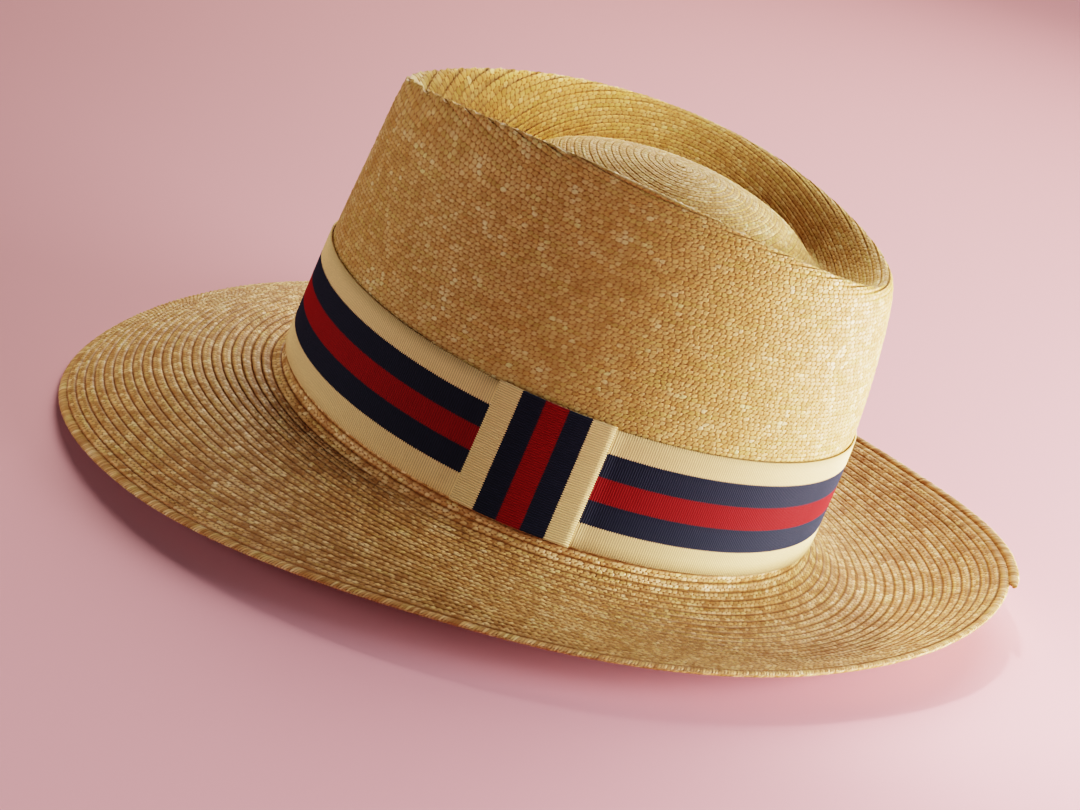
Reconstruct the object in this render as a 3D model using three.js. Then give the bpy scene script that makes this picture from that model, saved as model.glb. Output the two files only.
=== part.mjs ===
// A wide-brim straw hat: a teardrop crown with a ridge, a valley and a low dome, a brim that
// dips at the front and turns up at the back, a finishing row of braid round the brim's edge,
// a striped ribbon round the crown and a ribbon keeper over the ribbon's join.
//
// Millimetres, +Z up. The front of the hat faces -Y and the wearer's left is +X.
// The pieces are shaped in the frame of the head opening, which is level there, and the
// whole hat is then tilted back to where it settles on a table: on the front of the brim's
// edge and on the underside of the brim behind the crown.

import * as THREE from 'three';

// Driving dimensions, in millimetres and degrees
const STRAW_WALL = 1.8; // sewn straw braid, with its rows overlapped
const PIECE_GAP = 0.3; // clearance between neighbouring pieces
const RIBBON_WIDTH = 40;
const RIBBON_THICKNESS = 0.7;
const RIBBON_FOOT = 1.6; // bare straw between the brim and the ribbon
const KEEPER_WIDTH = 40; // the same ribbon, turned upright
const KEEPER_THICKNESS = 0.9;
const KEEPER_OVERHANG = 0.5; // past each edge of the ribbon, where it folds over
const BREAK_FILLET = 5; // radius of the turn from the crown into the brim
const EDGE_ROW = 3.6; // mean width of the finishing row at the brim's edge
const EDGE_THICKNESS = 2.2;
const TAIL_STEP = 2.6; // step in the edge where the last row of the spiral ends
const TAIL_DIRECTION = 88;
const TAIL_TURN = 0.8; // over which the step falls

// Facets
const CROWN_SIDES = 72;
const BRIM_SIDES = 96;
const FILLET_FACETS = 3;
const BRIM_FACETS = 7;
const RIBBON_FACETS = 2;
const SLOPE_STEPS = 24; // steps in adding up the brim's slope along its length

// Sections of the crown's outer face, from the head opening up the wall to the ridge, then
// down into the valley and up over the dome. A section is an oval: halfWidth to each side,
// front and back from the middle, drawn in towards its front by the exponent point, and at
// the heights zFront, zSide and zBack. facets counts the steps up to the next section.
const CROWN_COLUMNS = ['name', 'halfWidth', 'front', 'back', 'point', 'zFront', 'zSide', 'zBack', 'facets'];
const CROWN_SECTIONS = [
  ['opening', 85.0, 92.2, 99.0, 0.0, 0.0, 0.0, 0.0, 2],
  ['band_top', 70.6, 90.4, 98.4, 0.06, 41.8, 40.0, 41.8, 2],
  ['wall', 64.0, 88.0, 95.6, 0.2, 72.0, 77.0, 70.0, 2],
  ['shoulder', 57.6, 85.8, 91.4, 0.31, 96.0, 106.3, 92.5, 1],
  ['ridge', 55.6, 84.6, 88.8, 0.34, 100.8, 111.2, 97.8, 1],
  ['lip', 52.6, 81.8, 85.6, 0.34, 99.7, 110.1, 96.7, 2],
  ['inner_wall', 47.0, 69.5, 79.0, 0.32, 92.0, 99.0, 90.0, 2],
  ['valley', 42.5, 58.0, 74.5, 0.26, 87.0, 90.5, 86.5, 2],
  ['dome_foot', 37.0, 46.5, 68.5, 0.16, 88.6, 92.4, 88.2, 2],
  ['dome_flank', 27.0, 31.0, 53.0, 0.06, 99.0, 100.5, 99.0, 2],
  ['dome_top', 13.0, 9.5, 31.5, 0.0, 105.4, 105.8, 105.4, 1],
  ['tip', 0.0, -11.0, 11.0, 0.0, 107.0, 107.0, 107.0, 0],
].map((row) => named(CROWN_COLUMNS, row));

// Profile of the brim in five directions, the same on both sides. slope is the fall just
// outside the turn from the crown, middleSlope the fall half way out and edgeSlope the fall at
// the edge, all below level, and length is measured along the straw from the crown to the edge.
const BRIM_COLUMNS = ['direction', 'slope', 'middleSlope', 'edgeSlope', 'length'];
const BRIM_PROFILES = [
  ['front', 9.0, 28.5, 43.0, 81.6],
  ['front_quarter', 4.5, 19.5, 36.5, 75.5],
  ['side', 18.5, -1.0, 6.0, 62.5],
  ['back_quarter', 38.5, -15.5, -28.0, 65.5],
  ['back', 31.0, -25.0, -35.0, 79.0],
].map((row) => named(BRIM_COLUMNS, row));

// Section of the finishing row, from its inner side over the top and back underneath. across
// is a share of the row's width, and height a share of its thickness above the straw's middle.
const EDGE_COLUMNS = ['corner', 'across', 'height'];
const EDGE_SECTION = [
  ['inner_top', 0.0, 0.36],
  ['top', 0.55, 0.5],
  ['outer_top', 0.95, 0.3],
  ['outer_bottom', 1.0, -0.2],
  ['bottom', 0.6, -0.5],
  ['inner_bottom', 0.0, -0.36],
].map((row) => named(EDGE_COLUMNS, row));

// Finishes
const STRAW = { color: 0xc79a60, roughness: 0.7, metalness: 0 };
const EDGE_STRAW = { color: 0xb98d55, roughness: 0.7, metalness: 0 };
const RIBBON = { color: 0x20263f, roughness: 0.85, metalness: 0 };
const KEEPER = { color: 0xa3161d, roughness: 0.85, metalness: 0 };

function named(columns, row) {
  return Object.fromEntries(columns.map((column, i) => [column, row[i]]));
}

function radians(degrees) {
  return THREE.MathUtils.degToRad(degrees);
}

// Evenly spaced directions round the hat: 0 is the wearer's left, -90 the front, 90 the back
function directions(sides) {
  return Array.from({ length: sides }, (_, i) => (2 * Math.PI * i) / sides);
}

// Crown surface

function sectionPoint(section, angle) {
  const { halfWidth, front, back, point, zFront, zSide, zBack } = section;
  const along = (1 + Math.sin(angle)) / 2;
  const drawnIn = Math.abs(Math.sin((angle + Math.PI / 2) / 2)) ** point;
  const x = halfWidth * Math.cos(angle) * drawnIn;
  const y = (back - front) / 2 + ((back + front) / 2) * Math.sin(angle);
  const z =
    zFront * (1 - along) * (1 - 2 * along) + 4 * zSide * along * (1 - along) + zBack * along * (2 * along - 1);
  return new THREE.Vector3(x, y, z);
}

function crownCurve(angle) {
  const points = CROWN_SECTIONS.map((section) => sectionPoint(section, angle));
  return new THREE.CatmullRomCurve3(points, false, 'centripetal');
}

// Unit normal of the crown's outer face at a fraction of its curve, from two small steps
function crownNormal(angle, fraction) {
  const step = 1e-3;
  const up = crownCurve(angle).getPoint(Math.min(fraction + step, 1));
  up.sub(crownCurve(angle).getPoint(Math.max(fraction - step, 0)));
  const round = crownCurve(angle + step).getPoint(fraction);
  round.sub(crownCurve(angle - step).getPoint(fraction));
  return round.cross(up).normalize();
}

function crownFractions() {
  const spans = CROWN_SECTIONS.length - 1;
  const fractions = [];
  CROWN_SECTIONS.slice(0, spans).forEach((section, i) => {
    for (let j = 0; j < section.facets; j += 1) {
      fractions.push((i + j / section.facets) / spans);
    }
  });
  return fractions;
}

// Ring of points at a fraction of the crown's curve, moved out from the face by an offset
function crownRing(angles, fraction, offset) {
  return angles.map((angle) => {
    const point = crownCurve(angle).getPoint(fraction);
    const normal = crownNormal(angle, fraction);
    if (fraction === 0) normal.setZ(0).normalize();
    return point.addScaledVector(normal, offset);
  });
}

// Point on the crown's wall at a length up from the opening, moved out by an offset
function wallPoint(angle, length, offset) {
  const curve = crownCurve(angle);
  const fraction = curve.getUtoTmapping(0, length);
  return curve.getPoint(fraction).addScaledVector(crownNormal(angle, fraction), offset);
}

// Brim surface

// A column of the brim's table at any direction, smoothly through the five rows and back
function brimValue(column, heading) {
  const half = BRIM_PROFILES.map((profile) => profile[column]);
  const values = [...half, ...half.slice(1, -1).reverse()];
  const count = values.length;
  const turn = THREE.MathUtils.euclideanModulo((heading + Math.PI / 2) / (2 * Math.PI), 1) * count;
  const i = Math.floor(turn);
  const t = turn - i;
  const at = (k) => values[(i + k + count) % count];
  const bend = 2 * at(-1) - 5 * at(0) + 4 * at(1) - at(2);
  const twist = 3 * (at(0) - at(1)) + at(2) - at(-1);
  return at(0) + 0.5 * t * (at(1) - at(-1) + t * (bend + t * twist));
}

// Level direction straight out from the head opening
function outward(angle) {
  const opening = CROWN_SECTIONS[0];
  const reach = (opening.front + opening.back) / 2;
  return new THREE.Vector3(Math.cos(angle) * reach, Math.sin(angle) * opening.halfWidth, 0).normalize();
}

function brimLength(angle) {
  const out = outward(angle);
  return brimValue('length', Math.atan2(out.y, out.x));
}

// Point of the brim's top face at a length from the crown, moved up from the face by an offset.
// The fall starts straight down at the crown, eases through the fillet and then runs through
// its middle to the edge; adding it up along the length gives the reach out and the drop.
function brimPoint(angle, length, offset) {
  const out = outward(angle);
  const heading = Math.atan2(out.y, out.x);
  const slope = radians(brimValue('slope', heading));
  const middleSlope = radians(brimValue('middleSlope', heading));
  const edgeSlope = radians(brimValue('edgeSlope', heading));
  const turnLength = BREAK_FILLET * (Math.PI / 2 - slope);
  const runLength = brimLength(angle) - turnLength;
  const fallAt = (l) => {
    if (l < turnLength) return Math.PI / 2 - l / BREAK_FILLET;
    const s = (l - turnLength) / runLength;
    return slope * (1 - s) * (1 - 2 * s) + 4 * middleSlope * s * (1 - s) + edgeSlope * s * (2 * s - 1);
  };
  let reach = 0;
  let drop = PIECE_GAP;
  const step = length / SLOPE_STEPS;
  for (let i = 0; i < SLOPE_STEPS; i += 1) {
    const fall = fallAt((i + 0.5) * step);
    reach += Math.cos(fall) * step;
    drop += Math.sin(fall) * step;
  }
  const fall = fallAt(length);
  reach += Math.sin(fall) * offset;
  drop -= Math.cos(fall) * offset;
  const point = sectionPoint(CROWN_SECTIONS[0], angle);
  return point.addScaledVector(out, reach).setZ(-drop);
}

// Solids

// Closed surface through rings of points; a ring of one point is a pole, and a loop of rings
// joins its last ring to its first.
function loft(rings, isLoop = false) {
  const positions = [];
  const triangles = [];
  const firsts = rings.map((ring) => {
    const first = positions.length / 3;
    ring.forEach((p) => positions.push(p.x, p.y, p.z));
    return first;
  });
  const spans = isLoop ? rings.length : rings.length - 1;
  for (let k = 0; k < spans; k += 1) {
    const next = (k + 1) % rings.length;
    const count = Math.max(rings[k].length, rings[next].length);
    const at = (ring, i) => firsts[ring] + (rings[ring].length === 1 ? 0 : i % count);
    for (let i = 0; i < count; i += 1) {
      if (rings[k].length > 1) triangles.push(at(k, i), at(k, i + 1), at(next, i));
      if (rings[next].length > 1) triangles.push(at(next, i), at(k, i + 1), at(next, i + 1));
    }
  }
  if (signedVolume(positions, triangles) < 0) triangles.reverse();
  const geometry = new THREE.BufferGeometry();
  geometry.setAttribute('position', new THREE.Float32BufferAttribute(positions, 3));
  geometry.setIndex(triangles);
  geometry.computeVertexNormals();
  return geometry;
}

function signedVolume(positions, triangles) {
  const corner = (i) => new THREE.Vector3().fromArray(positions, 3 * triangles[i]);
  let volume = 0;
  for (let i = 0; i < triangles.length; i += 3) {
    volume += corner(i).dot(corner(i + 1).cross(corner(i + 2))) / 6;
  }
  return volume;
}

function centre(ring) {
  const sum = ring.reduce((total, point) => total.add(point), new THREE.Vector3());
  return sum.divideScalar(ring.length);
}

// Outer face from the opening to the tip, and the inner face one wall further in
function crownGeometry() {
  const angles = directions(CROWN_SIDES);
  const fractions = crownFractions();
  const outer = fractions.map((fraction) => crownRing(angles, fraction, 0));
  const inner = fractions.map((fraction) => crownRing(angles, fraction, -STRAW_WALL));
  const tip = crownCurve(0).getPoint(1);
  const innerTip = tip.clone().setZ(tip.z - STRAW_WALL);
  return loft([[innerTip], ...inner.reverse(), ...outer, [tip]]);
}

// Top face from the crown to the finishing row, and the underside one wall below
function brimGeometry() {
  const angles = directions(BRIM_SIDES);
  const ring = (step, offset) =>
    angles.map((angle) => {
      const turnLength = BREAK_FILLET * (Math.PI / 2);
      const outerLength = brimLength(angle) - EDGE_ROW - PIECE_GAP;
      const length =
        step < FILLET_FACETS
          ? (turnLength * step) / FILLET_FACETS
          : turnLength + ((outerLength - turnLength) * (step - FILLET_FACETS)) / BRIM_FACETS;
      return brimPoint(angle, length, offset);
    });
  const steps = Array.from({ length: FILLET_FACETS + BRIM_FACETS + 1 }, (_, i) => i);
  const top = steps.map((step) => ring(step, 0));
  const underside = steps.map((step) => ring(step, -STRAW_WALL));
  return loft([...top, ...underside.reverse()], true);
}

// A rounded row whose outer line winds out by one step in a turn, up to the tail of the braid
function edgeBraidGeometry() {
  const start = TAIL_DIRECTION + TAIL_TURN / 2;
  const turn = 360 - TAIL_TURN;
  const rings = EDGE_SECTION.map(({ across, height }) =>
    Array.from({ length: BRIM_SIDES }, (_, i) => {
      const wound = i / (BRIM_SIDES - 1);
      const angle = radians(start + turn * wound);
      const width = EDGE_ROW + TAIL_STEP * (0.5 - wound);
      const length = brimLength(angle) - EDGE_ROW + width * across;
      return brimPoint(angle, length, height * EDGE_THICKNESS - STRAW_WALL / 2);
    }),
  );
  return loft(rings, true);
}

// A flat ribbon of even width round the crown's wall
function ribbonBandGeometry() {
  const angles = directions(CROWN_SIDES);
  const ring = (step, offset) => {
    const length = RIBBON_FOOT + (RIBBON_WIDTH * step) / RIBBON_FACETS;
    return angles.map((angle) => wallPoint(angle, length, offset));
  };
  const steps = Array.from({ length: RIBBON_FACETS + 1 }, (_, i) => i);
  const inner = steps.map((step) => ring(step, PIECE_GAP));
  const outer = steps.map((step) => ring(step, PIECE_GAP + RIBBON_THICKNESS));
  return loft([...outer, ...inner.reverse()], true);
}

// An upright piece of ribbon over the band, on the wearer's left
function ribbonKeeperGeometry() {
  const opening = CROWN_SECTIONS[0];
  const reach = (opening.front + opening.back) / 2;
  const end = Math.asin(KEEPER_WIDTH / 2 / reach);
  const pitch = (2 * Math.PI) / CROWN_SIDES;
  const inside = [-2, -1, 0, 1, 2].map((k) => k * pitch);
  const inner = 2 * PIECE_GAP + RIBBON_THICKNESS;
  const outer = inner + KEEPER_THICKNESS;
  const foot = RIBBON_FOOT - KEEPER_OVERHANG;
  const height = RIBBON_WIDTH + 2 * KEEPER_OVERHANG;
  const steps = Array.from({ length: RIBBON_FACETS + 1 }, (_, i) => foot + (height * i) / RIBBON_FACETS);
  const loops = [-end, ...inside, end].map((angle) => [
    ...steps.map((length) => wallPoint(angle, length, outer)),
    ...steps.toReversed().map((length) => wallPoint(angle, length, inner)),
  ]);
  return loft([[centre(loops[0])], ...loops, [centre(loops.at(-1))]]);
}

// Tilt at which the hat settles: level with the line under the brim, front to back, that
// touches the hat from below and passes highest under the middle of the head opening.
function restTilt(meshes) {
  const points = meshes.flatMap((mesh) => {
    const position = mesh.geometry.getAttribute('position');
    return Array.from({ length: position.count }, (_, i) => [position.getY(i), position.getZ(i)]);
  });
  const height = (slope) => Math.min(...points.map(([y, z]) => z - slope * y));
  let low = -1;
  let high = 1;
  while (high - low > 1e-6) {
    const third = (high - low) / 3;
    if (height(low + third) < height(high - third)) low += third;
    else high -= third;
  }
  return -Math.atan((low + high) / 2);
}

function piece(name, geometry, finish) {
  const mesh = new THREE.Mesh(geometry, new THREE.MeshStandardMaterial(finish));
  mesh.name = name;
  return mesh;
}

// Assembly: upright pieces in the head opening's frame, inside a group at rest on the table

const brim = piece('brim', brimGeometry(), STRAW);
const edgeBraid = piece('edge_braid', edgeBraidGeometry(), EDGE_STRAW);

const upright = new THREE.Group();
upright.add(
  piece('crown', crownGeometry(), STRAW),
  brim,
  edgeBraid,
  piece('ribbon_band', ribbonBandGeometry(), RIBBON),
  piece('ribbon_keeper', ribbonKeeperGeometry(), KEEPER),
);
upright.rotation.x = restTilt([brim, edgeBraid]);

const hat = new THREE.Group();
hat.add(upright);
hat.updateMatrixWorld(true);
const box = new THREE.Box3().setFromObject(hat, true);
const middle = box.getCenter(new THREE.Vector3());
upright.position.set(-middle.x, -middle.y, -box.min.z);

export default hat;
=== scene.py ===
# %% [markdown]
# # A wide-brim straw hat
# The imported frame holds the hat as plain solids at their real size: a crown, a brim, a finishing
# row, a ribbon and its keeper. This lesson dresses them. Straw is wound row by row as a real hat
# is sewn, the ribbon gets its woven ribs and stripes, and a camera and soft lights finish it.
# All sizes are in metres, in the frame's own axes: +Z up, front of the hat towards -Y.

# %% Open the frame
import math

import bpy
import numpy as np
from mathutils import Matrix, Vector


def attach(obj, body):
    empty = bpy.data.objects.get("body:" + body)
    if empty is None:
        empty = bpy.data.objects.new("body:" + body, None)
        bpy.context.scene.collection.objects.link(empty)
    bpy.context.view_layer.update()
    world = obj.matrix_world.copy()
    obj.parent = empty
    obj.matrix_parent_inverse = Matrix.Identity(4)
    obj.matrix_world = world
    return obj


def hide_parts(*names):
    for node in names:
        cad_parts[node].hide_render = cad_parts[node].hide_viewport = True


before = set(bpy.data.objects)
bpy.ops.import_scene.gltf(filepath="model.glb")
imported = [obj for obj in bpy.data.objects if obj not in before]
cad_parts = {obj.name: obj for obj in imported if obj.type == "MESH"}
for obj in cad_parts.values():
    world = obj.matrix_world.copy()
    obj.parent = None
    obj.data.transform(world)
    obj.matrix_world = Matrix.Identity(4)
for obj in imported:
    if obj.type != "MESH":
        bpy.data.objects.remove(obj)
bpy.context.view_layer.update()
bpy.ops.object.select_all(action="DESELECT")

# %% [markdown]
# ## The form that the straw is blocked on
# Sewn straw is pulled over a wooden block, so every row of braid lies on one smooth form. The
# solids in the frame are facets of that form. A copy of them could be smoothed with a modifier,
# but that would shrink it and round off the ridge. So the form is written again here from the same
# sections: ovals from the head opening up the wall to the ridge, down into the valley and up over
# the dome.

# %% Sections of the crown
# half width, front and back from the middle, how far the front is drawn to a point, and the
# heights at the front, the sides and the back
CROWN_SECTIONS = {
    "opening": (0.0850, 0.0922, 0.0990, 0.00, 0.0000, 0.0000, 0.0000),
    "band_top": (0.0706, 0.0904, 0.0984, 0.06, 0.0418, 0.0400, 0.0418),
    "wall": (0.0640, 0.0880, 0.0956, 0.20, 0.0720, 0.0770, 0.0700),
    "shoulder": (0.0576, 0.0858, 0.0914, 0.31, 0.0960, 0.1063, 0.0925),
    "ridge": (0.0556, 0.0846, 0.0888, 0.34, 0.1008, 0.1112, 0.0978),
    "lip": (0.0526, 0.0818, 0.0856, 0.34, 0.0997, 0.1101, 0.0967),
    "inner_wall": (0.0470, 0.0695, 0.0790, 0.32, 0.0920, 0.0990, 0.0900),
    "valley": (0.0425, 0.0580, 0.0745, 0.26, 0.0870, 0.0905, 0.0865),
    "dome_foot": (0.0370, 0.0465, 0.0685, 0.16, 0.0886, 0.0924, 0.0882),
    "dome_flank": (0.0270, 0.0310, 0.0530, 0.06, 0.0990, 0.1005, 0.0990),
    "dome_top": (0.0130, 0.0095, 0.0315, 0.00, 0.1054, 0.1058, 0.1054),
    "tip": (0.0000, -0.0110, 0.0110, 0.00, 0.1070, 0.1070, 0.1070),
}
SPAN_STEPS = 30  # points of a crown curve between two sections
DIRECTIONS = 720
ANGLES = np.linspace(0, 2 * math.pi, DIRECTIONS, endpoint=False)
TINY = 1e-12  # keeps a power or a division clear of zero


def through_three(first, middle, last, share):
    """A smooth change through three values, at a share of the way from the first to the last."""
    early = first * (1 - share) * (1 - 2 * share) + 4 * middle * share * (1 - share)
    return early + last * share * (2 * share - 1)


def section_points(section, angle):
    """Points of one oval: angle 0 is the wearer's left, -90 degrees the front, 90 the back."""
    half_width, front, back, point, z_front, z_side, z_back = CROWN_SECTIONS[section]
    drawn_in = np.maximum(np.abs(np.sin((angle + math.pi / 2) / 2)), TINY) ** point
    x = half_width * np.cos(angle) * drawn_in
    y = (back - front) / 2 + (back + front) / 2 * np.sin(angle)
    z = through_three(z_front, z_side, z_back, (1 + np.sin(angle)) / 2)
    return np.stack([x, y, z], -1)


def crown_curves(angle):
    """Smooth curves through the sections, from the opening to the tip, one for each angle."""
    knots = np.stack([section_points(section, angle) for section in CROWN_SECTIONS])
    knots = np.concatenate([2 * knots[:1] - knots[1:2], knots, 2 * knots[-1:] - knots[-2:-1]])
    gaps = np.sqrt(np.linalg.norm(np.diff(knots, axis=0), axis=2))[..., None]
    t = (np.arange(SPAN_STEPS) / SPAN_STEPS)[:, None, None]
    spans = []
    for i in range(len(knots) - 3):
        p0, p1, p2, p3 = knots[i:i + 4]
        g0, g1, g2 = gaps[i:i + 3]
        leave = ((p1 - p0) / g0 - (p2 - p0) / (g0 + g1) + (p2 - p1) / g1) * g1
        arrive = ((p2 - p1) / g1 - (p3 - p1) / (g1 + g2) + (p3 - p2) / g2) * g1
        bend = 3 * (p2 - p1) - 2 * leave - arrive
        twist = 2 * (p1 - p2) + leave + arrive
        spans.append(p1 + t * (leave + t * (bend + t * twist)))
    return np.concatenate([*spans, knots[-2:-1]])


def run_along(curves):
    """Length along each curve from its first point."""
    steps = np.linalg.norm(np.diff(curves, axis=0), axis=2)
    return np.concatenate([np.zeros((1, curves.shape[1])), np.cumsum(steps, 0)])


CROWN = crown_curves(ANGLES)
CROWN_RUN = run_along(CROWN)
print("crown: straw from", CROWN_RUN[-1].min().round(4), "to", CROWN_RUN[-1].max().round(4), "long")

# %% [markdown]
# The brim starts straight down from the crown, turns out through a small fillet and then runs to
# its edge: drooping in front, rolled up behind, and falling then levelling out at the sides. It
# could be given as heights, but slopes are easier to judge, and adding them up along the straw
# keeps its length true. Five profiles, from the front round to the back, give the slopes and the
# length, and a smooth curve round the hat joins them, the same on both sides.

# %% Profiles of the brim
# fall below level outside the fillet, half way out and at the edge, in degrees, and length
BRIM_PROFILES = {
    "front": (9.0, 28.5, 43.0, 0.0816),
    "front_quarter": (4.5, 19.5, 36.5, 0.0755),
    "side": (18.5, -1.0, 6.0, 0.0625),
    "back_quarter": (38.5, -15.5, -28.0, 0.0655),
    "back": (31.0, -25.0, -35.0, 0.0790),
}
BREAK_FILLET = 0.005  # radius of the turn out of the crown
PIECE_GAP = 0.0003  # the brim lies a little below the crown's foot
BRIM_STEPS = 400
BRIM_PAST_EDGE = 1.07  # the form runs on a little past the mean edge, under the last row


def round_the_brim(heading):
    """The four columns of the profiles at any heading round the hat."""
    half = np.array(list(BRIM_PROFILES.values()))
    ring = np.concatenate([half, half[-2:0:-1]])
    turn = np.mod((heading + math.pi / 2) / (2 * math.pi), 1) * len(ring)
    i = np.floor(turn).astype(int)
    t = (turn - i)[:, None]
    a, b, c, d = (ring[(i + k) % len(ring)] for k in (-1, 0, 1, 2))
    bend = 2 * a - 5 * b + 4 * c - d
    return (b + 0.5 * t * (c - a + t * (bend + t * (3 * (b - c) + d - a)))).T


def brim_curves(angle):
    """Curves of the brim's top face from the crown outwards, and the share of its length along them."""
    half_width, front, back = CROWN_SECTIONS["opening"][:3]
    out = np.stack([np.cos(angle) * (front + back) / 2, np.sin(angle) * half_width], -1)
    out /= np.linalg.norm(out, axis=1)[:, None]
    *slopes, length = round_the_brim(np.arctan2(out[:, 1], out[:, 0]))
    slope, middle_slope, edge_slope = np.radians(slopes)
    turn_length = BREAK_FILLET * (math.pi / 2 - slope)
    run = np.linspace(0, BRIM_PAST_EDGE, BRIM_STEPS)[:, None] * length
    turning = math.pi / 2 - run / BREAK_FILLET
    share = (run - turn_length) / (length - turn_length)
    running = through_three(slope, middle_slope, edge_slope, share)
    fall = np.where(run < turn_length, turning, running)
    middle = (fall[1:] + fall[:-1]) / 2
    step = np.diff(run, axis=0)
    start = np.zeros((1, len(angle)))
    reach = np.concatenate([start, np.cumsum(np.cos(middle) * step, 0)])
    drop = np.concatenate([start, np.cumsum(np.sin(middle) * step, 0)])
    drop += PIECE_GAP * np.minimum(run / BREAK_FILLET, 1)
    foot = section_points("opening", angle)[None]
    across = foot[..., :2] + reach[..., None] * out[None]
    return np.concatenate([across, (foot[..., 2] - drop)[..., None]], -1), run / length


BRIM, BRIM_SHARE = brim_curves(ANGLES)
print("brim: lowest", BRIM[..., 2].min().round(4), "and edge up to", BRIM[-1, :, 2].max().round(4))

# %% [markdown]
# ## One braid from the tip to the edge
# A sewn straw hat is one long braid wound in a spiral: it starts at the tip of the crown, and each
# turn is stitched over the last until the tail ends at the brim's edge. Separate rings would be
# simpler, but they would have no start at the tip and no tail. So the form is now read by rows of
# braid, counted from the tip. The wall keeps an even pitch up from the brim, the top keeps an even
# pitch out from the tip, and the two are eased into each other over the ridge. The ridge is further
# from the tip in front than at the sides, so rows cross it there, as they do on the real hat.

# %% Rows of braid on the crown
ROW_PITCH = 0.0028
TOP_PITCH = 0.00248
CROWN_ROWS = 70
EVEN_WALL = 0.085  # length up the wall before the rows begin to follow the top
RIDGE_POINT = list(CROWN_SECTIONS).index("ridge") * SPAN_STEPS
VALLEY_POINT = list(CROWN_SECTIONS).index("valley") * SPAN_STEPS


def smooth_step(x):
    return x * x * (3 - 2 * x)


def crown_rows():
    """The row of braid at each point of the crown's curves."""
    over_ridge = (CROWN_RUN - EVEN_WALL) / (CROWN_RUN[VALLEY_POINT] - EVEN_WALL)
    easing = smooth_step(np.clip(over_ridge, 0, 1))
    up_from_brim = CROWN_ROWS - CROWN_RUN / ROW_PITCH
    out_from_tip = (CROWN_RUN[-1] - CROWN_RUN) / TOP_PITCH
    return (1 - easing) * up_from_brim + easing * out_from_tip


CROWN_ROW = crown_rows()
RIDGE_ROW = CROWN_ROW[RIDGE_POINT]
print("ridge: on row", RIDGE_ROW.min().round(1), "to", RIDGE_ROW.max().round(1))

# %% The straw's face by rows
BRIM_ROWS = 24
ALL_ROWS = CROWN_ROWS + BRIM_ROWS
ROWS_PAST_EDGE = 1.25
ROW_STEP = 1 / 8
ROW_GRID = np.arange(0, ALL_ROWS + ROWS_PAST_EDGE, ROW_STEP)
REST_TILT = math.radians(-6.0759)  # the hat lies on its front edge and the brim behind the crown
REST_SHIFT = np.array([0.00061, -0.00282, 0.02318])


def read_curves(places, known, curves):
    """Points of each direction's curve at other places along it, as a grid."""
    grid = np.empty((len(places), DIRECTIONS, 3))
    for i in range(DIRECTIONS):
        for axis in range(3):
            grid[:, i, axis] = np.interp(places, known[:, i], curves[:, i, axis])
    return grid


def at_rest(vectors):
    """Turns points of the upright hat to where it lies on the table."""
    x, y, z = np.moveaxis(vectors, -1, 0)
    c, s = math.cos(REST_TILT), math.sin(REST_TILT)
    return np.stack([x, y * c - z * s, y * s + z * c], -1) + REST_SHIFT


def outward(face):
    """Unit normals of a grid of points, which closes round the hat."""
    round_it = np.roll(face, -1, 1) - np.roll(face, 1, 1)
    normals = np.cross(np.gradient(face, axis=0), round_it)
    lengths = np.linalg.norm(normals, axis=2)[..., None]
    return normals / np.maximum(lengths, TINY)


brim_row = CROWN_ROWS + BRIM_ROWS * BRIM_SHARE
straw_row = np.concatenate([CROWN_ROW[::-1], brim_row[1:]])
straw_curves = np.concatenate([CROWN[::-1], BRIM[1:]])
FACE = at_rest(read_curves(ROW_GRID, straw_row, straw_curves))
NORMALS = outward(FACE)
near_tip = NORMALS[2].mean(0)
NORMALS[0] = near_tip / np.linalg.norm(near_tip)  # the tip is one point, with no normals of its own
print("form:", FACE.shape[0], "steps by", FACE.shape[1], "directions")

# %% Read the form anywhere
TAIL_DIRECTION = math.radians(88)
STITCH = 0.00210
FIRST_TURN = 0.3
TURNS_PAST_TAIL = 0.1
PATH_POINTS = 60000


def read_grid(grid, angle, step):
    """Values of a grid between its directions, and between its steps the other way."""
    x = np.mod(angle / (2 * math.pi), 1) * DIRECTIONS
    i = np.floor(x).astype(int)
    y = np.clip(step, 0, len(grid) - 1.001)  # so that a step further is still on the grid
    j = np.floor(y).astype(int)
    fx, fy = (x - i)[..., None], (y - j)[..., None]
    left, right = i % DIRECTIONS, (i + 1) % DIRECTIONS
    low = grid[j, left] * (1 - fx) + grid[j, right] * fx
    high = grid[j + 1, left] * (1 - fx) + grid[j + 1, right] * fx
    return low * (1 - fy) + high * fy


def above(face, normals, angle, step, height):
    """Points at a height above a face that is given as a grid."""
    normal = read_grid(normals, angle, step)
    normal /= np.linalg.norm(normal, axis=-1)[..., None]
    return read_grid(face, angle, step) + normal * height[..., None]


def on_straw(angle, row, height):
    return above(FACE, NORMALS, angle, row / ROW_STEP, height)


def wound(turn):
    """Direction of the braid after a number of turns from the tip; it ends at its tail."""
    return TAIL_DIRECTION + 2 * math.pi * (ALL_ROWS - turn)


TURNS = np.linspace(FIRST_TURN, ALL_ROWS + TURNS_PAST_TAIL, PATH_POINTS)
braid_path = on_straw(wound(TURNS), TURNS, np.zeros(PATH_POINTS))
braid_steps = np.linalg.norm(np.diff(braid_path, axis=0), axis=1)
STITCHES = np.concatenate([[0], np.cumsum(braid_steps)]) / STITCH
print("braid:", round(STITCHES[-1] * STITCH, 1), "metres,", int(STITCHES[-1]), "stitches")

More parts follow.
